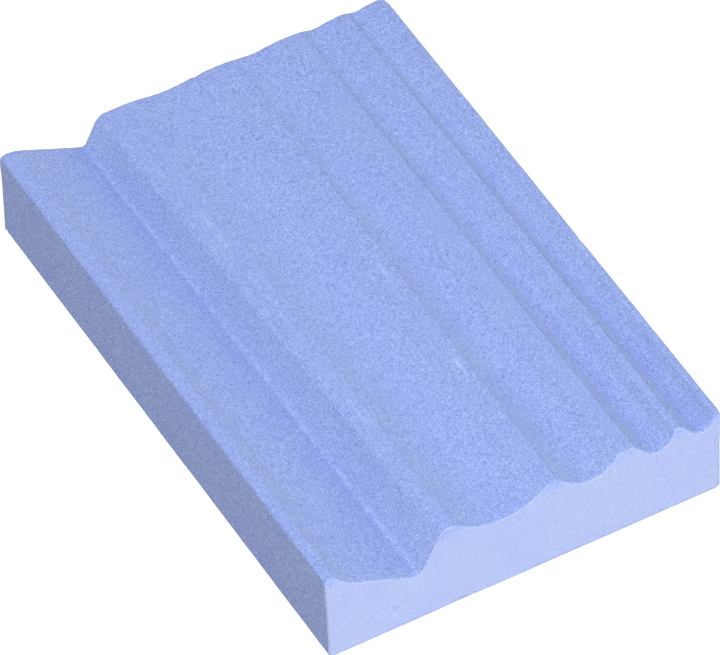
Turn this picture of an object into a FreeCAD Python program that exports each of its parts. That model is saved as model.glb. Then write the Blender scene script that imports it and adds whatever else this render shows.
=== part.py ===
import FreeCAD, Part
import math
import os
import Sketcher
from FreeCAD import Vector

# A profiled slip stone: one moulded and fired block of abrasive. A V-groove and four
# flutes run the length of its top, deep at the front end and shallow at the rear.
# The frame has +Y from the front end to the rear end, +X from the V-groove to the
# narrowest flute, and its origin under the middle of the flat base. Millimetres.

NODE = "profiled_stone"
ENDS = ("front", "rear")

BLOCK = {
    "block_width": 100,
    "block_length": 150,
    "block_height": 25,
    "corner_radius": 0.6,
    "overcut": 3,
    "broad_ridge_radius": 2,
    "narrow_ridge_radius": 1,
}

# Each groove is given by its section at both ends. Places across the block are measured
# from its left side, and depths from its top.
V_KEYS = ("land", "shoulder", "shoulder_depth", "bottom", "depth", "flank", "radius")
V_GROOVE = {
    "front": (2.5, 6.3, 3.85, 23.5, 11.5, 29.5, 1.5),
    "rear": (3.9, 8.0, 1.95, 21.5, 8.2, 25.1, 1.1),
}

# A flute is a round bottom between two straight walls that touch it.
FLUTE_KEYS = ("left", "right", "bottom", "radius", "depth")
FLUTES = {
    "flute_wide": {
        "front": (32.5, 56.2, 44.4, 16, 4.8),
        "rear": (34.8, 51.8, 43.0, 27, 1.1),
    },
    "flute_medium": {
        "front": (58.5, 74.0, 67.0, 7.3, 4.5),
        "rear": (60.6, 70.3, 65.3, 13, 0.8),
    },
    "flute_narrow": {
        "front": (78.0, 88.2, 84.0, 3.7, 4.7),
        "rear": (77.9, 86.0, 81.4, 5.5, 0.9),
    },
    "flute_fine": {
        "front": (90.0, 98.3, 95.2, 2.7, 4.6),
        "rear": (89.8, 96.4, 92.4, 3.7, 0.85),
    },
}

# The long top edges, by the name of the groove side that each one bounds.
BROAD_RIDGES = (
    "v_groove_front_flank",
    "flute_wide_front_left",
    "flute_wide_front_right",
    "flute_medium_front_left",
    "flute_medium_front_right",
    "flute_narrow_front_left",
)
NARROW_RIDGES = (
    "v_groove_front_land",
    "flute_narrow_front_right",
    "flute_fine_front_left",
    "flute_fine_front_right",
)

START, END, CENTRE = 1, 2, 3
SKETCH_ORIGIN = (-1, 1)


def driving_dimensions():
    """Every driving dimension by the alias that its cell gets."""
    dims = dict(BLOCK)
    for end in ENDS:
        for key, value in zip(V_KEYS, V_GROOVE[end]):
            dims[f"v_groove_{end}_{key}"] = value
        for flute, sections in FLUTES.items():
            for key, value in zip(FLUTE_KEYS, sections[end]):
                dims[f"{flute}_{end}_{key}"] = value
    return dims


def make_sheet(doc, dims):
    """The spreadsheet: a name in column A and its value, with an alias, in column B."""
    sheet = doc.addObject("Spreadsheet::Sheet", "Dims")
    for row, (alias, value) in enumerate(dims.items(), start=1):
        sheet.set(f"A{row}", alias.replace("_", " "))
        sheet.set(f"B{row}", str(value))
        sheet.setAlias(f"B{row}", alias)
    doc.recompute()


def attach(sketch, body, role):
    """Lays a sketch on one of its own body's origin planes."""
    plane = next(item for item in body.Origin.OriginFeatures if item.Role == role)
    sketch.AttachmentSupport = (plane, [""])
    sketch.MapMode = "FlatFace"


def end_sketch(body, name, end):
    """A sketch on an end face: x runs from the left side and y up from the base."""
    sketch = body.newObject("Sketcher::SketchObject", name)
    attach(sketch, body, "XZ_Plane")
    side = "" if end == "front" else "-"
    sketch.setExpression("AttachmentOffset.Base.x", "-Dims.block_width / 2")
    sketch.setExpression("AttachmentOffset.Base.z", f"{side}Dims.block_length / 2")
    return sketch


def fix(sketch, kind, place, expression, value):
    """Drives a distance from the sketch's origin, or a radius, by an expression."""
    if kind == "Radius":
        index = sketch.addConstraint(Sketcher.Constraint(kind, place, value))
    else:
        index = sketch.addConstraint(Sketcher.Constraint(kind, *SKETCH_ORIGIN, *place, value))
    sketch.setExpression(f"Constraints[{index}]", expression)


def chain(sketch, pieces):
    """Adds lines and arcs end to end in a closed loop and returns their numbers."""
    ids = [sketch.addGeometry(piece, False) for piece in pieces]
    for here, after in zip(ids, ids[1:] + ids[:1]):
        smooth = "Arc" in type(pieces[here]).__name__ or "Arc" in type(pieces[after]).__name__
        kind = "Tangent" if smooth else "Coincident"
        sketch.addConstraint(Sketcher.Constraint(kind, here, END, after, START))
    return ids


def lines_through(*points):
    """Straight lines from point to point."""
    return [Part.LineSegment(a, b) for a, b in zip(points, points[1:])]


def touch_point(edge_point, centre, radius, side):
    """Where a line from edge_point touches the underside of a circle."""
    reach = centre - edge_point
    length = math.sqrt(reach.Length**2 - radius**2)
    turn = side * math.asin(radius / reach.Length)
    heading = math.atan2(reach.y, reach.x) + turn
    return edge_point + Vector(math.cos(heading), math.sin(heading), 0) * length


def close_above(sketch, dims, first, last, roof_line):
    """Fixes the two upright lines above the block and the line that joins their tops."""
    roof = dims["block_height"] + dims["overcut"]
    sketch.addConstraint(Sketcher.Constraint("Vertical", first))
    sketch.addConstraint(Sketcher.Constraint("Vertical", last))
    sketch.addConstraint(Sketcher.Constraint("Horizontal", roof_line))
    roof_place = (first, START)
    fix(sketch, "DistanceY", roof_place, "Dims.block_height + Dims.overcut", roof)


def v_groove_sketch(body, end, dims):
    """The V-groove's section: a short steep drop, a long slope, a round root, a flank."""
    cell = f"v_groove_{end}"
    land, shoulder, shoulder_depth, bottom, depth, flank, radius = (
        dims[f"{cell}_{key}"] for key in V_KEYS
    )
    top = dims["block_height"]
    roof = top + dims["overcut"]
    edge = Vector(land, top, 0)
    bend = Vector(shoulder, top - shoulder_depth, 0)
    root = Vector(bottom, top - depth, 0)
    rim = Vector(flank, top, 0)

    # The root arc touches the slope and the flank at the same distance from their corner.
    slope_way = (bend - root).normalize()
    flank_way = (rim - root).normalize()
    half_angle = slope_way.getAngle(flank_way) / 2
    reach = radius / math.tan(half_angle)
    low = root + (slope_way + flank_way).normalize() * radius * (1 / math.sin(half_angle) - 1)
    root_arc = Part.Arc(root + slope_way * reach, low, root + flank_way * reach)

    sketch = end_sketch(body, cell, end)
    pieces = lines_through(Vector(land, roof, 0), edge, bend, root + slope_way * reach)
    pieces.append(root_arc)
    pieces += lines_through(root + flank_way * reach, rim, Vector(flank, roof, 0))
    pieces += lines_through(Vector(flank, roof, 0), Vector(land, roof, 0))
    riser, drop, slope, arc, side, last_riser, roof_line = chain(sketch, pieces)
    corner = sketch.addGeometry(Part.Point(root), True)
    sketch.addConstraint(Sketcher.Constraint("PointOnObject", corner, START, slope))
    sketch.addConstraint(Sketcher.Constraint("PointOnObject", corner, START, side))

    up = "Dims.block_height"
    fix(sketch, "DistanceX", (drop, START), f"Dims.{cell}_land", land)
    fix(sketch, "DistanceY", (drop, START), up, top)
    fix(sketch, "DistanceX", (drop, END), f"Dims.{cell}_shoulder", shoulder)
    fix(sketch, "DistanceY", (drop, END), f"{up} - Dims.{cell}_shoulder_depth", bend.y)
    fix(sketch, "DistanceX", (corner, START), f"Dims.{cell}_bottom", bottom)
    fix(sketch, "DistanceY", (corner, START), f"{up} - Dims.{cell}_depth", root.y)
    fix(sketch, "DistanceX", (side, END), f"Dims.{cell}_flank", flank)
    fix(sketch, "DistanceY", (side, END), up, top)
    fix(sketch, "Radius", arc, f"Dims.{cell}_radius", radius)
    close_above(sketch, dims, riser, last_riser, roof_line)
    return sketch


def flute_sketch(body, flute, end, dims):
    """A flute's section: two straight walls and the round bottom that they touch."""
    cell = f"{flute}_{end}"
    left, right, bottom, radius, depth = (dims[f"{cell}_{key}"] for key in FLUTE_KEYS)
    top = dims["block_height"]
    roof = top + dims["overcut"]
    left_edge = Vector(left, top, 0)
    right_edge = Vector(right, top, 0)
    low = Vector(bottom, top - depth, 0)
    centre = Vector(bottom, low.y + radius, 0)
    left_touch = touch_point(left_edge, centre, radius, -1)
    right_touch = touch_point(right_edge, centre, radius, 1)

    sketch = end_sketch(body, cell, end)
    pieces = lines_through(Vector(left, roof, 0), left_edge, left_touch)
    pieces.append(Part.Arc(left_touch, low, right_touch))
    pieces += lines_through(right_touch, right_edge, Vector(right, roof, 0))
    pieces += lines_through(Vector(right, roof, 0), Vector(left, roof, 0))
    riser, left_wall, arc, right_wall, last_riser, roof_line = chain(sketch, pieces)

    up = "Dims.block_height"
    centre_up = f"{up} - Dims.{cell}_depth + Dims.{cell}_radius"
    fix(sketch, "DistanceX", (left_wall, START), f"Dims.{cell}_left", left)
    fix(sketch, "DistanceY", (left_wall, START), up, top)
    fix(sketch, "DistanceX", (right_wall, END), f"Dims.{cell}_right", right)
    fix(sketch, "DistanceY", (right_wall, END), up, top)
    fix(sketch, "DistanceX", (arc, CENTRE), f"Dims.{cell}_bottom", bottom)
    fix(sketch, "DistanceY", (arc, CENTRE), centre_up, centre.y)
    fix(sketch, "Radius", arc, f"Dims.{cell}_radius", radius)
    close_above(sketch, dims, riser, last_riser, roof_line)
    return sketch


def make_block(doc, body, dims):
    """The plain block, padded up from its base and rounded at its upright corners."""
    sketch = body.newObject("Sketcher::SketchObject", "base_outline")
    attach(sketch, body, "XY_Plane")
    across = dims["block_width"] / 2
    along = dims["block_length"] / 2
    corners = [Vector(x, y, 0) for x, y in ((-1, -1), (1, -1), (1, 1), (-1, 1))]
    corners = [Vector(c.x * across, c.y * along, 0) for c in corners]
    front, right, rear, left = chain(sketch, lines_through(*corners, corners[0]))
    for line in (front, rear):
        sketch.addConstraint(Sketcher.Constraint("Horizontal", line))
    for line in (right, left):
        sketch.addConstraint(Sketcher.Constraint("Vertical", line))
    fix(sketch, "DistanceX", (rear, START), "Dims.block_width / 2", across)
    fix(sketch, "DistanceY", (rear, START), "Dims.block_length / 2", along)
    sketch.addConstraint(Sketcher.Constraint("Symmetric", front, START, rear, START, -1, 1))

    pad = body.newObject("PartDesign::Pad", "block")
    pad.Profile = sketch
    pad.setExpression("Length", "Dims.block_height")
    doc.recompute()

    def is_upright(edge):
        return abs(edge.BoundBox.ZLength - edge.Length) < 1e-6

    upright = [f"Edge{n}" for n, edge in enumerate(pad.Shape.Edges, start=1) if is_upright(edge)]
    rounded = body.newObject("PartDesign::Fillet", "block_corners")
    rounded.Base = (pad, upright)
    rounded.setExpression("Radius", "Dims.corner_radius")
    doc.recompute()
    return rounded


def cut_groove(doc, body, name, sections):
    """Cuts the trough between a groove's front and rear sections."""
    before = body.Tip.Shape.Volume
    loft = body.newObject("PartDesign::SubtractiveLoft", name)
    loft.Profile = sections[0]
    loft.Sections = [sections[1]]
    loft.Ruled = True
    doc.recompute()
    if not loft.Shape.Volume < before:
        raise RuntimeError(f"{name} cuts nothing")
    return loft


def long_top_edges(shape, dims, names):
    """The top edges that leave the front face at the named groove sides."""
    wanted = [dims[name] - dims["block_width"] / 2 for name in names]
    front = -dims["block_length"] / 2
    found = []
    for number, edge in enumerate(shape.Edges, start=1):
        ends = sorted((vertex.Point for vertex in edge.Vertexes), key=lambda point: point.y)
        if len(ends) < 2 or abs(ends[0].y - front) > 1e-3 or abs(ends[1].y + front) > 1e-3:
            continue
        if abs(ends[0].z - dims["block_height"]) > 1e-3:
            continue
        if min(abs(ends[0].x - x) for x in wanted) < 1e-3:
            found.append(f"Edge{number}")
    if len(found) != len(names):
        raise RuntimeError(f"found {len(found)} of {len(names)} ridge edges")
    return found


def round_ridges(doc, body, name, dims, edge_names, radius_cell):
    """Rounds the ridges and lands where they fall away into the grooves."""
    base = body.Tip
    fillet = body.newObject("PartDesign::Fillet", name)
    fillet.Base = (base, long_top_edges(base.Shape, dims, edge_names))
    fillet.setExpression("Radius", f"Dims.{radius_cell}")
    doc.recompute()
    return fillet


def make_stone(doc, dims):
    """The whole stone as one body."""
    body = doc.addObject("PartDesign::Body", NODE)
    body.Label = NODE
    body.Placement = FreeCAD.Placement()
    make_block(doc, body, dims)
    cut_groove(doc, body, "v_groove", [v_groove_sketch(body, end, dims) for end in ENDS])
    for flute in FLUTES:
        cut_groove(doc, body, flute, [flute_sketch(body, flute, end, dims) for end in ENDS])
    round_ridges(doc, body, "broad_ridges", dims, BROAD_RIDGES, "broad_ridge_radius")
    round_ridges(doc, body, "narrow_ridges", dims, NARROW_RIDGES, "narrow_ridge_radius")
    return body


def check(doc, bodies):
    """Stops the build if anything failed, is null or is not valid."""
    for item in doc.Objects:
        if "Invalid" in item.State or "Error" in item.State:
            raise RuntimeError(f"{item.Name} is {item.State}")
        if item.TypeId == "Sketcher::SketchObject" and item.solve() != 0:
            raise RuntimeError(f"{item.Name} does not solve")
    for body in bodies:
        if body.Shape.isNull() or not body.Shape.isValid() or len(body.Shape.Solids) != 1:
            raise RuntimeError(f"{body.Label} is not one valid solid")


def main():
    doc = FreeCAD.newDocument("slip_stone")
    dims = driving_dimensions()
    make_sheet(doc, dims)
    bodies = [make_stone(doc, dims)]
    doc.recompute()
    check(doc, bodies)
    os.makedirs("parts", exist_ok=True)
    for body in bodies:
        body.Shape.exportStep(f"parts/{body.Label}.step")
        box = body.Shape.optimalBoundingBox()
        size = f"{box.XLength:.2f} x {box.YLength:.2f} x {box.ZLength:.2f} mm"
        print(f"{body.Label}: {size}, {body.Shape.Volume / 1000:.1f} cm3")


main()
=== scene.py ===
import math

import bmesh
import bpy
from mathutils import Matrix, Vector, noise


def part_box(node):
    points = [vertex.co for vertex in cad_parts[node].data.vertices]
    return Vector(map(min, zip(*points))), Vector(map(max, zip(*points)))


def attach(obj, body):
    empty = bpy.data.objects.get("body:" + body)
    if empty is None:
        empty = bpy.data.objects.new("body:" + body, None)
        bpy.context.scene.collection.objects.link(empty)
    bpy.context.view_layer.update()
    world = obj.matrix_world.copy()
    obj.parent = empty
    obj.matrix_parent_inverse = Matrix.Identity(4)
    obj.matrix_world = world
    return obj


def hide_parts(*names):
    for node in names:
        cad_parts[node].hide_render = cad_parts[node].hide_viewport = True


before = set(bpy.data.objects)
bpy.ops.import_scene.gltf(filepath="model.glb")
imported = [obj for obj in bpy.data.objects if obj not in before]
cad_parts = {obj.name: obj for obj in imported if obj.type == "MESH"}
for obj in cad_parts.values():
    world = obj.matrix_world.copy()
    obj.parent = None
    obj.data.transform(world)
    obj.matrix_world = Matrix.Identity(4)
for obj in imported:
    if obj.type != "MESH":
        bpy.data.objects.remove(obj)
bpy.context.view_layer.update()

# The looks of a profiled slip stone: a moulded and fired block of blue abrasive. One dense
# mesh replaces its plain CAD solid. It has the same grooves, and adds rounded ridges, worn
# and chipped edges, and the slight unevenness and grain of the fired surface. Lengths are
# in millimetres from the block's front left bottom corner, unless a comment says metres.

NODE = "profiled_stone"
MM = 0.001

CAD_LOW, CAD_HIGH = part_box(NODE)
WIDTH = (CAD_HIGH.x - CAD_LOW.x) / MM
LENGTH = (CAD_HIGH.y - CAD_LOW.y) / MM
TOP = (CAD_HIGH.z - CAD_LOW.z) / MM

ENDS = ("front", "rear")
# Which way each end faces along the block. A row between the ends has no end.
END_WAYS = {"front": -1, "rear": 1, None: 0}


# ---- Sizes of the shape ----

# Groove sections at both ends, as in the CAD part: places across the block from its left
# side, and depths from its top.
V_GROOVE = {
    "front": dict(
        land=2.5, shoulder=6.3, shoulder_depth=3.85, bottom=23.5, depth=11.5, flank=29.5, radius=1.5
    ),
    "rear": dict(
        land=3.9, shoulder=8.0, shoulder_depth=1.95, bottom=21.5, depth=8.2, flank=25.1, radius=1.1
    ),
}
FLUTES = [
    {
        "front": dict(left=32.5, right=56.2, bottom=44.4, radius=16, depth=4.8),
        "rear": dict(left=34.8, right=51.8, bottom=43.0, radius=27, depth=1.1),
    },
    {
        "front": dict(left=58.5, right=74.0, bottom=67.0, radius=7.3, depth=4.5),
        "rear": dict(left=60.6, right=70.3, bottom=65.3, radius=13, depth=0.8),
    },
    {
        "front": dict(left=78.0, right=88.2, bottom=84.0, radius=3.7, depth=4.7),
        "rear": dict(left=77.9, right=86.0, bottom=81.4, radius=5.5, depth=0.9),
    },
    {
        "front": dict(left=90.0, right=98.3, bottom=95.2, radius=2.7, depth=4.6),
        "rear": dict(left=89.8, right=96.4, bottom=92.4, radius=3.7, depth=0.85),
    },
]

# Radii of the outline's other corners, from the left side to the right. Each flute has one
# for its left top edge and one for its right.
LEFT_RIM_RADIUS = 0.9
LAND_RADIUS = 1.5
SHOULDER_RADIUS = 6.0
FLANK_RADIUS = 2.4
RIDGE_RADII = ((1.3, 2.4), (1.1, 2.2), (0.9, 1.1), (0.7, 0.9))
RIGHT_RIM_RADIUS = 0.9
BASE_RADIUS = 0.7

# How far each side leans in from the top to the base.
SIDE_DRAFT = 0.6
# The top is level over its left half and falls this far by its right edge.
RIGHT_FALL = 0.35

# Radii of the edges round the two end faces, wider where a ridge is worn, and patchy.
END_RADIUS = 0.28
RIDGE_WEAR = 0.35
RIDGE_WEAR_WIDTH = 1.1
CORNER_ZONE = 1.4
CORNER_END_RADIUS = 0.3
BASE_END_RADII = {"front": 0.25, "rear": 0.6}
END_PATCHINESS = 0.45
END_PATCH_SCALE = 0.35
END_PATCH_SHIFTS = {"front": 0, "rear": 40}

# How finely the mesh is laid out: spacing along the outline, then counts of steps.
RUN_SPACING = 0.7
ARC_SPACING = 0.42
SIDE_STEPS = 20
END_STEPS = 5
ROWS = 205
BASE_COLUMNS = 12
# Edges that turn by more degrees than this are shaded sharp.
SHARP_ANGLE = 40

# Each kind of unevenness of the fired surface: its size across and its depth.
WAVES = ((13.0, 0.06), (3.2, 0.03), (1.1, 0.02))
WAVE_SHIFT = 17.3

# Small bites out of the surface: place, reach and depth.
CHIPS = (
    ((0.0, 0.0, 25.0), 1.8, 0.45),
    ((100.0, 150.0, 25.0), 2.2, 0.5),
    ((50.6, 150.0, 24.6), 1.3, 0.3),
    ((17.5, 0.0, 6.5), 0.9, 0.45),
    ((71.0, 0.0, 25.0), 1.0, 0.25),
    ((0.0, 96.0, 25.0), 1.2, 0.2),
    ((0.0, 0.0, 12.0), 0.9, 0.15),
    ((100.0, 0.0, 14.0), 1.1, 0.2),
    ((34.0, 0.0, 0.4), 1.4, 0.2),
    ((100.0, 61.0, 25.0), 1.3, 0.25),
    ((0.0, 150.0, 25.0), 1.5, 0.35),
    ((100.0, 0.0, 25.0), 1.2, 0.3),
)
# A chip's edge lies at this many reaches, and its hollow fades over this share of a reach.
CHIP_EDGE = 1.6
CHIP_FADE = 0.62
CHIP_ROUGHNESS = 0.5
CHIP_NOISE_SCALE = 1.7


# ---- Outline of a section ----

def flute_corners(cut, left_radius, right_radius):
    """A flute as three corners: its two top edges and the rounded meeting of its walls."""
    centre = Vector((cut["bottom"], TOP - cut["depth"] + cut["radius"]))
    walls = []
    for edge, side in ((cut["left"], -1), (cut["right"], 1)):
        start = Vector((edge, TOP))
        reach = centre - start
        turn = side * math.asin(cut["radius"] / reach.length)
        heading = math.atan2(reach.y, reach.x) + turn
        walls.append((start, Vector((math.cos(heading), math.sin(heading)))))
    (left, left_way), (right, right_way) = walls
    gap = right - left
    along = (gap.x * right_way.y - gap.y * right_way.x) / (
        left_way.x * right_way.y - left_way.y * right_way.x
    )
    meeting = left + left_way * along
    return [(left, left_radius), (meeting, cut["radius"]), (right, right_radius)]


def section_corners(end):
    """The stone's outline at one end, from under its left side over the top to the right."""
    v_cut = V_GROOVE[end]
    corners = [
        (Vector((SIDE_DRAFT, 0)), BASE_RADIUS),
        (Vector((0, TOP)), LEFT_RIM_RADIUS),
        (Vector((v_cut["land"], TOP)), LAND_RADIUS),
        (Vector((v_cut["shoulder"], TOP - v_cut["shoulder_depth"])), SHOULDER_RADIUS),
        (Vector((v_cut["bottom"], TOP - v_cut["depth"])), v_cut["radius"]),
        (Vector((v_cut["flank"], TOP)), FLANK_RADIUS),
    ]
    for flute, (left_radius, right_radius) in zip(FLUTES, RIDGE_RADII):
        corners += flute_corners(flute[end], left_radius, right_radius)
    corners.append((Vector((WIDTH, TOP)), RIGHT_RIM_RADIUS))
    corners.append((Vector((WIDTH - SIDE_DRAFT, 0)), BASE_RADIUS))
    return corners


def arc_at(before, corner, after, radius):
    """The arc that rounds a corner, as its two ends, its centre and its signed turn."""
    back = (before - corner).normalized()
    ahead = (after - corner).normalized()
    turn = math.atan2(-back.x * ahead.y + back.y * ahead.x, -back.dot(ahead))
    setback = radius * math.tan(abs(turn) / 2)
    start = corner + back * setback
    side = math.copysign(1, turn)
    normal = Vector((back.y, -back.x)) * side
    return start, corner + ahead * setback, start + normal * radius, turn


def outline_parts(end):
    """The outline's straight runs and arcs in order, each with its length."""
    corners = section_corners(end)
    inset = SIDE_DRAFT + 2 * BASE_RADIUS
    points = [Vector((inset, 0))] + [place for place, _ in corners] + [Vector((WIDTH - inset, 0))]
    parts = []
    here = points[0]
    for before, (corner, radius), after in zip(points, corners, points[2:]):
        start, stop, centre, turn = arc_at(before, corner, after, radius)
        parts.append(("run", (start - here).length, here, start))
        parts.append(("arc", abs(turn) * radius, start, centre, turn))
        here = stop
    parts.append(("run", (points[-1] - here).length, here, points[-1]))
    return parts


def sample_part(part, steps):
    """Points along one run or arc, without its last."""
    if part[0] == "run":
        _, _, start, stop = part
        return [start.lerp(stop, step / steps) for step in range(steps)]
    _, _, start, centre, turn = part
    spoke = start - centre
    return [centre + Matrix.Rotation(turn * step / steps, 2) @ spoke for step in range(steps)]


def make_outlines():
    """Matching points along the front and rear outlines, and the numbers of the points
    where the left side ends at the top and where the right side begins there.

    Both outlines have the same number of points on each run and arc, so a straight line
    from a front point to its rear partner lies in the groove's wall."""
    parts = {end: outline_parts(end) for end in ENDS}
    outlines = {end: [] for end in ENDS}
    # The first part is the base's run and the second its arc. The sides come third from
    # either end.
    left_side = 2
    right_side = len(parts["front"]) - 3
    for index, pair in enumerate(zip(parts["front"], parts["rear"])):
        spacing = ARC_SPACING if pair[0][0] == "arc" else RUN_SPACING
        steps = max(1, math.ceil(max(part[1] for part in pair) / spacing))
        if index in (left_side, right_side):
            steps = SIDE_STEPS
        for end, part in zip(ENDS, pair):
            outlines[end] += sample_part(part, steps)
        if index == left_side:
            left_top = len(outlines["front"])
        if index == right_side - 1:
            right_top = len(outlines["front"])
    for end in ENDS:
        outlines[end].append(parts[end][-1][3])
    return outlines["front"], outlines["rear"], left_top, right_top


def edge_places():
    """The top edges of every groove, as places across at the front and at the rear."""
    cuts = [(V_GROOVE, ("land", "flank"))] + [(flute, ("left", "right")) for flute in FLUTES]
    return [(cut["front"][key], cut["rear"][key]) for cut, keys in cuts for key in keys]


EDGE_PLACES = edge_places()


# ---- Weights that several functions share ----

def bell(distance, width):
    """A smooth weight: one at no distance, falling to nothing over a few widths."""
    return math.exp(-((distance / width) ** 2))


def beyond_line(across, places, share):
    """How far right of a line a place is, if the line runs from one place to another."""
    front, rear = places
    return across - front - (rear - front) * share


def ridge_weight(across, share, width):
    """How near a place is to the edge of a groove."""
    return max(bell(beyond_line(across, places, share), width) for places in EDGE_PLACES)


def side_gap(place):
    """How far in a place is from the nearer long side face."""
    lean = SIDE_DRAFT * (1 - place.z / TOP)
    return max(min(place.x, WIDTH - place.x) - lean, 0)


def end_gap(place):
    """How far in a place is from the nearer end face."""
    return min(place.y, LENGTH - place.y)


# ---- Surface of the stone ----

def outward(points):
    """Unit normals of an outline, facing out of the stone."""
    normals = []
    last = len(points) - 1
    for index in range(len(points)):
        along = points[min(index + 1, last)] - points[max(index - 1, 0)]
        normals.append(Vector((-along.y, along.x)).normalized())
    return normals


def end_radii(outline, end):
    """How widely each point's end edge is rounded: most where the ridges are worn."""
    share = ENDS.index(end)
    radii = []
    for point in outline:
        spot = Vector((point.x * END_PATCH_SCALE, point.y * END_PATCH_SCALE, END_PATCH_SHIFTS[end]))
        patchy = 1 + END_PATCHINESS * noise.noise(spot)
        radius = END_RADIUS * patchy
        if point.y > TOP / 2:
            radius += RIDGE_WEAR * ridge_weight(point.x, share, RIDGE_WEAR_WIDTH) * patchy
        if point.y < CORNER_ZONE:
            radius = BASE_END_RADII[end]
        elif min(point.x, WIDTH - point.x) < CORNER_ZONE:
            radius = min(radius, CORNER_END_RADIUS)
        radii.append(radius)
    return radii


def row_steps():
    """Every row along the block: its share of the straight part, and its turn round an end."""
    turns = [math.pi / 2 * step / END_STEPS for step in range(END_STEPS)]
    rows = [(0, "front", turn) for turn in turns]
    rows += [(step / ROWS, None, math.pi / 2) for step in range(ROWS + 1)]
    rows += [(1, "rear", turn) for turn in reversed(turns)]
    return rows


def surface_offset(place):
    """How far the fired surface stands proud of the smooth shape at a place."""
    rise = 0
    for layer, (size, depth) in enumerate(WAVES):
        rise += depth * noise.noise(place / size + Vector((layer * WAVE_SHIFT, 0, 0)))
    for centre, reach, depth in CHIPS:
        near = (place - Vector(centre)).length / reach
        if near < CHIP_EDGE:
            rough = 1 + CHIP_ROUGHNESS * noise.noise(place * CHIP_NOISE_SCALE)
            rise -= depth * rough * bell(near, CHIP_FADE)
    return rise


def lay_point(flat, normal, along, turn, end):
    """A vertex's place, moved by the surface's unevenness."""
    place = Vector((flat.x, along, flat.y))
    out = math.sin(turn)
    facing = Vector((normal.x * out, END_WAYS[end] * math.cos(turn), normal.y * out))
    return place + facing * surface_offset(place)


def place_along(share, end, turn, at_front, at_rear):
    """Where along the block a row's point lies, between the rounding at its two ends."""
    if end == "front":
        return at_front * (1 - math.cos(turn))
    if end == "rear":
        return LENGTH - at_rear * (1 - math.cos(turn))
    return at_front + (LENGTH - at_front - at_rear) * share


def stone_rings():
    """The stone's vertices as rings, one for each row, each from left to right over the top,
    and the numbers in a ring where the left side ends and the right side begins."""
    front, rear, left_top, right_top = make_outlines()
    radii = {"front": end_radii(front, "front"), "rear": end_radii(rear, "rear")}
    rings = []
    for share, end, turn in row_steps():
        flat_points = []
        places = []
        for near, far, at_front, at_rear in zip(front, rear, radii["front"], radii["rear"]):
            along = place_along(share, end, turn, at_front, at_rear)
            flat_points.append(near.lerp(far, along / LENGTH))
            places.append(along)
        ring = []
        normals = outward(flat_points)
        for index, (flat, normal, along) in enumerate(zip(flat_points, normals, places)):
            if end:
                flat = flat - normal * radii[end][index] * (1 - math.sin(turn))
            ring.append(lay_point(flat, normal, along, turn, end))
        rings.append(ring)
    return rings, left_top, right_top


def fill_grid(faces, rows, flip=False):
    """Quads between neighbouring rows of vertex numbers."""
    for upper, lower in zip(rows, rows[1:]):
        for index in range(len(upper) - 1):
            quad = (upper[index], upper[index + 1], lower[index + 1], lower[index])
            faces.append(quad[::-1] if flip else quad)


def add_base(vertices, faces, ring_numbers):
    """The flat underside, between the inner ends of the rings. Returns its rows."""
    base_rows = []
    for numbers in ring_numbers:
        first = vertices[numbers[0]]
        last = vertices[numbers[-1]]
        row = [numbers[0]]
        for column in range(1, BASE_COLUMNS):
            place = first.lerp(last, column / BASE_COLUMNS)
            place.z -= surface_offset(place)
            row.append(len(vertices))
            vertices.append(place)
        row.append(numbers[-1])
        base_rows.append(row)
    fill_grid(faces, base_rows)
    return base_rows


def add_end(vertices, faces, numbers, base_row, left_top, right_top, end):
    """An end face: columns from the profile down to the level of the sides' lower ends, and
    one face for the narrow strip between there and the base."""
    facing = Vector((0, END_WAYS[end], 0))
    along = 0.0 if end == "front" else LENGTH
    left_foot = left_top - SIDE_STEPS
    right_foot = right_top + SIDE_STEPS
    foot_height = vertices[numbers[left_foot]].z
    columns = [numbers[left_foot : left_top + 1][::-1]]
    for number in numbers[left_top + 1 : right_top]:
        head = vertices[number]
        column = [number]
        for step in range(1, SIDE_STEPS + 1):
            share = step / SIDE_STEPS
            place = Vector((head.x, along, head.z + (foot_height - head.z) * share))
            place += facing * surface_offset(place)
            column.append(len(vertices))
            vertices.append(place)
        columns.append(column)
    columns.append(numbers[right_top : right_foot + 1])
    fill_grid(faces, columns, flip=end == "rear")
    feet = [column[-1] for column in columns]
    under = numbers[:left_foot][::-1] + base_row[1:-1] + numbers[right_foot + 1 :][::-1]
    loop = feet + under[::-1]
    faces.append(tuple(loop if end == "rear" else loop[::-1]))


def stone_surface():
    """The stone's vertices, and its faces as tuples of their numbers: one closed surface."""
    rings, left_top, right_top = stone_rings()
    vertices = []
    ring_numbers = []
    for ring in rings:
        first = len(vertices)
        vertices += ring
        ring_numbers.append(list(range(first, len(vertices))))
    faces = []
    fill_grid(faces, ring_numbers)
    base_rows = add_base(vertices, faces, ring_numbers)
    for end, row in (("front", 0), ("rear", -1)):
        add_end(vertices, faces, ring_numbers[row], base_rows[row], left_top, right_top, end)
    return vertices, faces


# ---- Marks on the surface, which the material reads at every vertex ----

# Wear of the block's outer edges: its width, its strength along the rims and on the upright
# edges, how near an upright edge and how far below the top the second one holds, and how
# long its patches are across, along and up.
WEAR_WIDTH = 0.8
RIM_WEAR = 0.25
UPRIGHT_WEAR = 0.35
UPRIGHT_REACH = 0.6
UPRIGHT_START = 1
WEAR_PATCH_SCALES = (0.5, 0.16, 0.5)

# Painted light on the groove walls, which lightens the steep walls and warms them against
# the shade they fall in: how far in from the outer faces they count, how near to upright a
# face may be, and how much more a groove's left wall counts than its right one.
WALL_MARGIN = 0.6
WALL_LEAST_RISE = 0.1
LEFT_WALL_GAIN = 1.5
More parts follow.
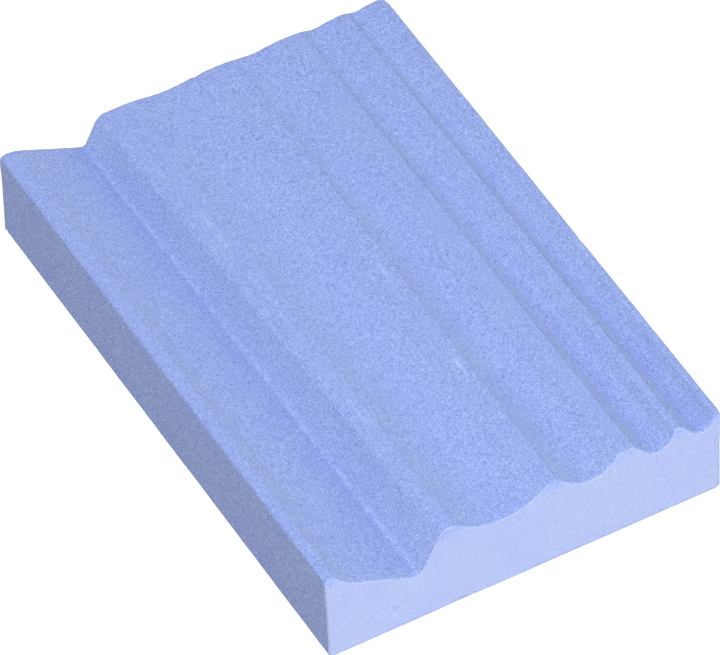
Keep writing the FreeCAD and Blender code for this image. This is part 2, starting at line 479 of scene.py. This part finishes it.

# The painted shade inside each flute's left edge, a dark line where the surface falls away
# from the light: how dark in each flute, how far in from the edge, how wide, how far below
# the top it may lie, and how far from the ends it stops.
CREASE_DEPTHS = (0.3, 0.45, 1.0, 1.0)
CREASE_INSET = 0.45
CREASE_WIDTH = 0.4
CREASE_ZONE = 2
CREASE_MARGIN = 0.4
CREASE_PATCH_SCALES = (0.2, 0.05)
CREASE_PATCH_SHIFT = 3.7

# Painted light and shade of the outer faces: the end faces painted paler for their brighter
# light, and the long sides painted darker and duller for their shade. How fast they fade
# round an edge, how far in an end's reaches, and how the side's begins below the top.
PAINTED_FACE_FADE = 0.25
END_LIGHT_REACH = 1
SIDE_SHADE_START = 0.2
SIDE_SHADE_RUN = 0.5
# How much of an end's painted light is lost under the ridges, how wide and how deep.
RIDGE_LOSS = 0.9
RIDGE_LOSS_WIDTH = 3.2
RIDGE_LOSS_DEPTH = 2.0

# The light line along the V-groove's bottom: strength at the front and its loss by the rear,
# width, how far below the top it lies, and how far from the ends it stops.
ROOT_LINE = 0.6
ROOT_LINE_LOSS = 0.25
ROOT_LINE_WIDTH = 0.45
ROOT_LINE_START = 5
ROOT_LINE_MARGIN = 0.3

# Places where a ridge's crest is rubbed lighter: across, start and end along, and amount.
SCUFFS = (
    (31.0, 36.0, 44.0, 0.6),
    (30.8, 67.0, 87.0, 0.5),
    (30.5, 100.0, 111.0, 1.0),
    (57.2, 37.0, 44.0, 1.0),
    (57.0, 72.0, 79.0, 0.7),
)
SCUFF_WIDTH = 0.5
SCUFF_FADE = 1.5
SCUFF_ZONE = 1


def box_edge_weight(place):
    """How near a place is to one of the block's twelve outer edges."""
    gaps = (side_gap(place), end_gap(place), min(place.z, TOP - place.z))
    nearest, second, _ = sorted(max(gap, 0) for gap in gaps)
    return bell(math.hypot(nearest, second), WEAR_WIDTH)


def wear_at(place):
    """Wear of the block's outer edges: zero in the open, more where they are rubbed."""
    across, along, up = WEAR_PATCH_SCALES
    spot = Vector((place.x * across, place.y * along, place.z * up))
    patchy = 0.5 + 0.5 * noise.noise(spot)
    near_upright = max(side_gap(place), end_gap(place)) < UPRIGHT_REACH
    on_upright = near_upright and place.z < TOP - UPRIGHT_START
    amount = UPRIGHT_WEAR if on_upright else RIM_WEAR
    return amount * box_edge_weight(place) * patchy


def painted_wall_light_at(facing, place):
    """How steep a groove's wall is, as the amount of painted light on it: zero on the level, and
    more on its left wall.
    """
    inside = min(place.x, WIDTH - place.x, end_gap(place)) > WALL_MARGIN
    if not inside or facing.z < WALL_LEAST_RISE:
        return 0
    return (1 - facing.z) * (LEFT_WALL_GAIN if facing.x > 0 else 1)


def painted_crease_shade_at(place):
    """Painted shade: the thin dark line just inside the left edge of every flute."""
    if place.z < TOP - CREASE_ZONE or end_gap(place) < CREASE_MARGIN:
        return 0
    share = place.y / LENGTH
    across, along = CREASE_PATCH_SCALES
    spot = Vector((place.x * across, place.y * along, CREASE_PATCH_SHIFT))
    patchy = 0.75 + 0.5 * noise.noise(spot)
    darkness = 0
    for flute, depth in zip(FLUTES, CREASE_DEPTHS):
        edge = (flute["front"]["left"], flute["rear"]["left"])
        gap = beyond_line(place.x, edge, share) - CREASE_INSET
        darkness = max(darkness, depth * bell(gap, CREASE_WIDTH))
    return darkness * patchy


def end_painted_light_at(place):
    """Painted light: one on the two end faces, which are painted paler for their brighter light,
    but less just under the ridges.
    """
    gap = max(end_gap(place), 0)
    if gap > END_LIGHT_REACH:
        return 0
    ridge = ridge_weight(place.x, place.y / LENGTH, RIDGE_LOSS_WIDTH)
    under_ridge = ridge * bell(max(TOP - place.z, 0), RIDGE_LOSS_DEPTH)
    return bell(gap, PAINTED_FACE_FADE) * (1 - RIDGE_LOSS * under_ridge)


def side_painted_shade_at(place):
    """Painted shade: one on the two long side faces, which are painted darker and duller than the
    top for their shade.
    """
    height = min(max((TOP - SIDE_SHADE_START - place.z) / SIDE_SHADE_RUN, 0), 1)
    return height * bell(side_gap(place), PAINTED_FACE_FADE)


def light_line_and_rub_at(place):
    """Light marks: a light line along the bottom of the V-groove, and rub marks in patches on two
    ridges.
    """
    share = place.y / LENGTH
    root = (V_GROOVE["front"]["bottom"], V_GROOVE["rear"]["bottom"])
    amount = 0
    if place.z < TOP - ROOT_LINE_START and end_gap(place) > ROOT_LINE_MARGIN:
        strength = ROOT_LINE - ROOT_LINE_LOSS * share
        amount = strength * bell(beyond_line(place.x, root, share), ROOT_LINE_WIDTH)
    if place.z > TOP - SCUFF_ZONE:
        for across, start, stop, most in SCUFFS:
            beyond = max(start - place.y, place.y - stop, 0)
            scuff = most * bell(place.x - across, SCUFF_WIDTH) * bell(beyond, SCUFF_FADE)
            amount = max(amount, scuff)
    return amount


def keep_marks(mesh, vertices):
    """Keeps every kind of mark in the mesh, by the name that the material reads."""
    facings = [vertex.normal.copy() for vertex in mesh.vertices]
    marks = {
        "wear": [wear_at(place) for place in vertices],
        "side_painted_shade": [side_painted_shade_at(place) for place in vertices],
        "end_painted_light": [end_painted_light_at(place) for place in vertices],
        "painted_wall_light": [painted_wall_light_at(facing, place) for facing, place in zip(facings, vertices)],
        "painted_crease_shade": [painted_crease_shade_at(place) for place in vertices],
        "light_line_and_rub": [light_line_and_rub_at(place) for place in vertices],
    }
    for name, values in marks.items():
        mesh.attributes.new(name, "FLOAT", "POINT").data.foreach_set("value", values)


# ---- The stone ----

def in_frame(place):
    """A vertex's place in metres in the part's frame, with the top's fall to the right."""
    fall = RIGHT_FALL * max(place.x / WIDTH - 0.5, 0) * 2 * place.z / TOP
    corner = Vector((WIDTH / 2, LENGTH / 2, 0))
    moved = (place - corner - Vector((0, 0, fall))) * MM
    moved.z = max(moved.z, 0)
    return moved


def make_stone(material):
    """The stone as one closed mesh, with its marks kept at every vertex."""
    vertices, faces = stone_surface()
    mesh = bpy.data.meshes.new("stone_body")
    mesh.from_pydata([in_frame(place) for place in vertices], [], faces)
    mesh.update()
    build = bmesh.new()
    build.from_mesh(mesh)
    bmesh.ops.recalc_face_normals(build, faces=build.faces)
    build.to_mesh(mesh)
    build.free()
    mesh.shade_smooth()
    mesh.set_sharp_from_angle(angle=math.radians(SHARP_ANGLE))
    keep_marks(mesh, vertices)
    mesh.materials.append(material)
    stone = bpy.data.objects.new("stone_body", mesh)
    bpy.context.collection.objects.link(stone)
    return stone


# ---- Material of the stone ----

class Nodes:
    """A material's node tree, with short calls to add nodes and join them."""

    def __init__(self, tree):
        self.tree = tree

    def feed(self, node, name, value):
        """Sets one input, or joins another node's output to it."""
        if isinstance(value, bpy.types.NodeSocket):
            self.tree.links.new(value, node.inputs[name])
        else:
            node.inputs[name].default_value = value

    def add(self, kind, settings=None, inputs=None):
        """Adds a node, sets its properties, and fills inputs with values or other outputs."""
        node = self.tree.nodes.new(kind)
        for name, value in (settings or {}).items():
            setattr(node, name, value)
        for name, value in (inputs or {}).items():
            self.feed(node, name, value)
        return node

    def attribute(self, name):
        """A mark kept at the mesh's vertices."""
        return self.add("ShaderNodeAttribute", {"attribute_name": name}).outputs["Fac"]

    def math(self, operation, first, second):
        """A math node's result."""
        settings = {"operation": operation}
        return self.add("ShaderNodeMath", settings, {0: first, 1: second}).outputs[0]

    def noise(self, place, scale, detail=2.0, rough=0.5):
        """Noise between zero and one, at so many features to the millimetre."""
        inputs = {"Vector": place, "Scale": scale, "Detail": detail, "Roughness": rough}
        return self.add("ShaderNodeTexNoise", None, inputs).outputs["Fac"]

    def remap(self, value, low, high, to_low=0.0, to_high=1.0):
        """A value's range stretched to another, and held inside it."""
        settings = {"clamp": True}
        inputs = {0: value, 1: low, 2: high, 3: to_low, 4: to_high}
        return self.add("ShaderNodeMapRange", settings, inputs).outputs[0]

    def mix(self, factor, first, second, blend="MIX"):
        """Two colours mixed."""
        settings = {"data_type": "RGBA", "blend_type": blend}
        return self.add("ShaderNodeMix", settings, {0: factor, 6: first, 7: second}).outputs[2]

    def cover(self, colour, mask, amount, other):
        """A colour covered by another where a mask is, by up to an amount."""
        return self.mix(self.math("MULTIPLY", mask, amount), colour, other)


# Linear colours. A tint multiplies the colour under it. The tints of the faces, groove walls
# and creases are guesses at light and shade, painted into the colour.
STONE_COOL = (0.230, 0.301, 0.635, 1)
STONE_GREEN = (0.236, 0.313, 0.623, 1)
WORN = (0.37, 0.44, 0.74, 1)
PIT_COLOUR = (0.140, 0.190, 0.44, 1)
SPECK_COLOUR = (0.38, 0.46, 0.78, 1)
GRAIN_TINTS = ((0.46, 0.55, 0.75, 1), (1.54, 1.45, 1.25, 1))
SIDE_GRAIN_TINTS = ((0.86, 0.87, 0.89, 1), (1.14, 1.13, 1.11, 1))
SIDE_SHADE_TINT = (0.855, 0.82, 0.725, 1)
PAINTED_LIGHT_AND_SHADE = {
    # Painted light: the end faces paler and less blue, for their brighter light.
    "end_painted_light": (1.29, 1.16, 0.93, 1),
    # Painted light: the groove walls lighter and warmer, against the shade they fall in.
    "painted_wall_light": (1.42, 1.39, 1.13, 1),
    # Painted shade: the dark line inside each flute's left edge.
    "painted_crease_shade": (0.86, 0.86, 0.86, 1),
}

# Noises: features to the millimetre, detail and roughness.
MOTTLE_NOISE = (0.075, 3.0, 0.55)
COARSE_GRAIN = (1.9, 2.0, 0.6)
FINE_GRAIN = (4.8, 1.0, 0.5)
COARSE_SHARE = 0.28
RUB_NOISE = 0.7
GLOSS_NOISE = 1.7

# The part of a noise's range that each use stretches from nothing to full.
MOTTLE_RANGE = (0.35, 0.65)
STRONG_GRAIN_RANGE = (0.36, 0.64)
SOFT_GRAIN_RANGE = (0.14, 0.86)
SIDE_GRAIN_RANGE = (0.42, 0.58)
WEAR_RANGE = (0.3, 0.6)
RUB_RANGE = (0.42, 0.6)
GLOSS_RANGE = (0.3, 0.7)

# Pits and light specks: cells to the millimetre, the noise that makes them larger or smaller
# and the part of its range that does, the largest size, and how soft their edges are.
PITS = dict(cells=1.25, size_noise=1.4, size_range=(0.5, 0.75))
SPECKS = dict(cells=1.1, size_noise=1.2, size_range=(0.55, 0.8))
SPECK_SHIFT = (31.7, 12.9, 5.3)
FLECK_SIZE = 0.28
FLECK_EDGE = (-0.04, 0.06)

# How strongly each layer covers the colour under it.
PIT_AMOUNT = 0.55
SPECK_AMOUNT = 0.6
WEAR_AMOUNT = 0.6
RUB_AMOUNT = 0.75

# How matt the surface is, and its relief: the bump's strength and depth in metres, and how
# deep a pit is beside the grain.
ROUGHNESS = (0.84, 0.96)
SPECULAR = 0.15
BUMP_STRENGTH = 0.45
BUMP_DEPTH = 0.0001
PIT_RELIEF = 0.5


def grain_of(nodes, place):
    """Coarse and fine grain together, between zero and one."""
    coarse = nodes.noise(place, *COARSE_GRAIN)
    fine = nodes.noise(place, *FINE_GRAIN)
    coarse_part = nodes.math("MULTIPLY", coarse, COARSE_SHARE)
    fine_part = nodes.math("MULTIPLY", fine, 1 - COARSE_SHARE)
    return nodes.math("ADD", coarse_part, fine_part)


def flecks_of(nodes, place, cells, size_noise, size_range):
    """Scattered flecks: one inside each and zero in the open."""
    gap = nodes.add("ShaderNodeTexVoronoi", None, {"Vector": place, "Scale": cells}).outputs[0]
    size = nodes.remap(nodes.noise(place, size_noise), *size_range, 0.0, FLECK_SIZE)
    return nodes.remap(nodes.math("SUBTRACT", size, gap), *FLECK_EDGE)


def grained_colour(nodes, place, grain):
    """The mottled blue with its grain, which is softer on the end faces."""
    mottle = nodes.remap(nodes.noise(place, *MOTTLE_NOISE), *MOTTLE_RANGE)
    colour = nodes.mix(mottle, STONE_COOL, STONE_GREEN)
    strong = nodes.remap(grain, *STRONG_GRAIN_RANGE)
    soft = nodes.remap(grain, *SOFT_GRAIN_RANGE)
    ends = nodes.attribute("end_painted_light")
    contrast = nodes.add("ShaderNodeMix", None, {0: ends, 2: strong, 3: soft}).outputs[0]
    return nodes.mix(1.0, colour, nodes.mix(contrast, *GRAIN_TINTS), "MULTIPLY")


def tinted_colour(nodes, colour, grain):
    """A colour with painted light and shade: darker, duller sides with stronger grain, paler end
    faces, lighter groove walls and darker creases.
    """
    sides = nodes.attribute("side_painted_shade")
    # Painted shade: the long sides darker and duller than the top.
    colour = nodes.mix(sides, colour, SIDE_SHADE_TINT, "MULTIPLY")
    # More grain contrast on the sides: the stone's own grain, strengthened to stand in for the
    # shade of its raised grains.
    side_grain = nodes.mix(nodes.remap(grain, *SIDE_GRAIN_RANGE), *SIDE_GRAIN_TINTS)
    colour = nodes.mix(sides, colour, side_grain, "MULTIPLY")
    for name, tint in PAINTED_LIGHT_AND_SHADE.items():
        colour = nodes.mix(nodes.attribute(name), colour, tint, "MULTIPLY")
    return colour


def worn_colour(nodes, colour, place, grain):
    """A colour lightened along the worn edges, at the rub marks and along the light line in the
    V-groove.
    """
    wear = nodes.math("MULTIPLY", nodes.attribute("wear"), nodes.remap(grain, *WEAR_RANGE))
    colour = nodes.cover(colour, wear, WEAR_AMOUNT, WORN)
    rub_patches = nodes.remap(nodes.noise(place, RUB_NOISE), *RUB_RANGE)
    light_line_and_rub = nodes.math("MULTIPLY", nodes.attribute("light_line_and_rub"), rub_patches)
    return nodes.cover(colour, light_line_and_rub, RUB_AMOUNT, WORN)


def make_stone_material():
    """Fired blue abrasive: matte, grainy, softly mottled, and lighter where it is worn."""
    material = bpy.data.materials.new("abrasive_stone")
    material.use_nodes = True
    nodes = Nodes(material.node_tree)
    shader = material.node_tree.nodes["Principled BSDF"]

    where = nodes.add("ShaderNodeTexCoord").outputs["Object"]
    to_mm = {0: where, "Scale": 1 / MM}
    place = nodes.add("ShaderNodeVectorMath", {"operation": "SCALE"}, to_mm).outputs[0]
    shift = {0: place, 1: SPECK_SHIFT}
    speck_place = nodes.add("ShaderNodeVectorMath", {"operation": "ADD"}, shift).outputs[0]
    grain = grain_of(nodes, place)
    pits = flecks_of(nodes, place, **PITS)
    specks = flecks_of(nodes, speck_place, **SPECKS)

    colour = grained_colour(nodes, place, grain)
    colour = nodes.cover(colour, pits, PIT_AMOUNT, PIT_COLOUR)
    colour = nodes.cover(colour, specks, SPECK_AMOUNT, SPECK_COLOUR)
    colour = tinted_colour(nodes, colour, grain)
    colour = worn_colour(nodes, colour, place, grain)

    height = nodes.math("SUBTRACT", grain, nodes.math("MULTIPLY", pits, PIT_RELIEF))
    relief = {"Strength": BUMP_STRENGTH, "Distance": BUMP_DEPTH, "Height": height}
    roughness = nodes.remap(nodes.noise(place, GLOSS_NOISE), *GLOSS_RANGE, *ROUGHNESS)
    nodes.feed(shader, "Base Color", colour)
    nodes.feed(shader, "Roughness", roughness)
    nodes.feed(shader, "Normal", nodes.add("ShaderNodeBump", None, relief).outputs[0])
    shader.inputs["Specular IOR Level"].default_value = SPECULAR
    return material


# ---- Floor, light and camera, in metres ----

# The floor's half width, how far it lies below the stone, its own shade and how it glows.
FLOOR_HALF = 60
FLOOR_DROP = 0.00002
FLOOR_SHADE = 0.25
FLOOR_GLOW = 0.92
WORLD_GLOW = 0.02

# Soft lamps: direction from the stone, watts, and colour.
LAMP_DISTANCE = 2.0
LAMP_SIZE = 1.5
LAMPS = {
    "key": ((-0.26, -0.72, 0.63), 35, (1.0, 1.0, 0.97)),
    "left_fill": ((-0.72, -0.27, 0.64), 17.5, (0.97, 0.98, 1.0)),
    "right_fill": ((0.45, -0.54, 0.71), 23, (0.99, 1.0, 0.94)),
    "overhead": ((0.0, -0.09, 1.0), 9, (1.0, 1.0, 0.86)),
    "back_fill": ((0.1, 0.95, 0.30), 7, (1.0, 1.0, 0.96)),
    "low_fill": ((0.97, 0.0, 0.26), 12.5, (1.0, 0.98, 0.84)),
}

# The camera's place, the way it looks, its roll in degrees and its lens in millimetres.
CAMERA_PLACE = Vector((-0.7607, -1.4391, 1.7412))
CAMERA_WAY = Vector((0.32036, 0.60547, -0.72855))
CAMERA_ROLL = -2.12
LENS = 531.3
CLIP_START = 0.1
CLIP_END = 300


def make_floor():
    """A large, plain, nearly white floor, lit from within so that shadows stay faint."""
    material = bpy.data.materials.new("floor_white")
    material.use_nodes = True
    shader = material.node_tree.nodes["Principled BSDF"]
    shader.inputs["Base Color"].default_value = (FLOOR_SHADE, FLOOR_SHADE, FLOOR_SHADE, 1)
    shader.inputs["Roughness"].default_value = 1.0
    shader.inputs["Specular IOR Level"].default_value = 0.0
    shader.inputs["Emission Color"].default_value = (1, 1, 1, 1)
    shader.inputs["Emission Strength"].default_value = FLOOR_GLOW
    corners = [(x * FLOOR_HALF, y * FLOOR_HALF, 0) for x, y in ((-1, -1), (1, -1), (1, 1), (-1, 1))]
    mesh = bpy.data.meshes.new("floor")
    mesh.from_pydata(corners, [], [(0, 1, 2, 3)])
    mesh.materials.append(material)
    floor = bpy.data.objects.new("floor", mesh)
    floor.location.z = -FLOOR_DROP
    bpy.context.collection.objects.link(floor)


def make_world():
    """A faint, even, white surround."""
    world = bpy.data.worlds.new("surround")
    world.use_nodes = True
    background = world.node_tree.nodes["Background"]
    background.inputs["Color"].default_value = (1, 1, 1, 1)
    background.inputs["Strength"].default_value = WORLD_GLOW
    bpy.context.scene.world = world


def make_lamps():
    """Large soft lamps round the stone, which the camera doesn't see."""
    for name, (way, watts, colour) in LAMPS.items():
        lamp = bpy.data.lights.new(name, "AREA")
        lamp.energy = watts
        lamp.size = LAMP_SIZE
        lamp.color = colour
        holder = bpy.data.objects.new(name, lamp)
        direction = Vector(way).normalized()
        holder.location = direction * LAMP_DISTANCE
        holder.rotation_mode = "QUATERNION"
        holder.rotation_quaternion = direction.to_track_quat("Z", "Y")
        holder.visible_camera = False
        bpy.context.collection.objects.link(holder)


def make_camera():
    """A long lens from above the front left corner."""
    camera_data = bpy.data.cameras.new("camera")
    camera_data.lens = LENS
    camera_data.clip_start = CLIP_START
    camera_data.clip_end = CLIP_END
    camera = bpy.data.objects.new("camera", camera_data)
    level = CAMERA_WAY.to_track_quat("-Z", "Y")
    roll = Matrix.Rotation(math.radians(CAMERA_ROLL), 4, "Z")
    camera.matrix_world = Matrix.Translation(CAMERA_PLACE) @ level.to_matrix().to_4x4() @ roll
    bpy.context.collection.objects.link(camera)
    bpy.context.scene.camera = camera
    bpy.context.scene.view_settings.view_transform = "Standard"


stone_material = make_stone_material()
stone = make_stone(stone_material)
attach(stone, "root")
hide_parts(NODE)
make_floor()
make_world()
make_lamps()
make_camera()
